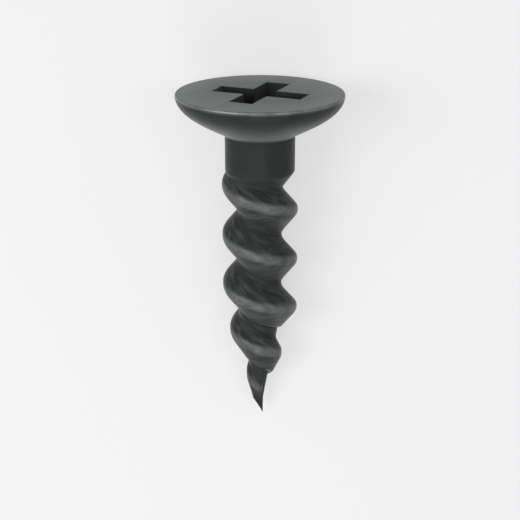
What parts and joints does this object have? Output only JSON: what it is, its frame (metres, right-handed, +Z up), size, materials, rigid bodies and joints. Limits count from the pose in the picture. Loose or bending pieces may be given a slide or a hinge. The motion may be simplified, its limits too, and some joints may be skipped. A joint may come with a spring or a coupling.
{
  "type": "drywall screw",
  "caption": "Drywall screw with a flat bowl-shaped countersunk head, cross recess, short neck, coarse thread and gimlet point, lying on its side.",
  "frame": {"origin": "middle of the bounding box's bottom face, on the surface that the screw lies on", "axes": "+Z up; +Y is the way the head points, seen from above, and the screw's axis rises 11.2 degrees towards the head; +X is to the right of the head seen from above"},
  "size_m": [0.0076, 0.0164, 0.0075],
  "materials": {
    "phosphate": "black phosphate coat, dark grey, satin with a faint oily sheen"
  },
  "bodies": {
    "root": {"screw": "phosphate"}
  },
  "joints": []
}
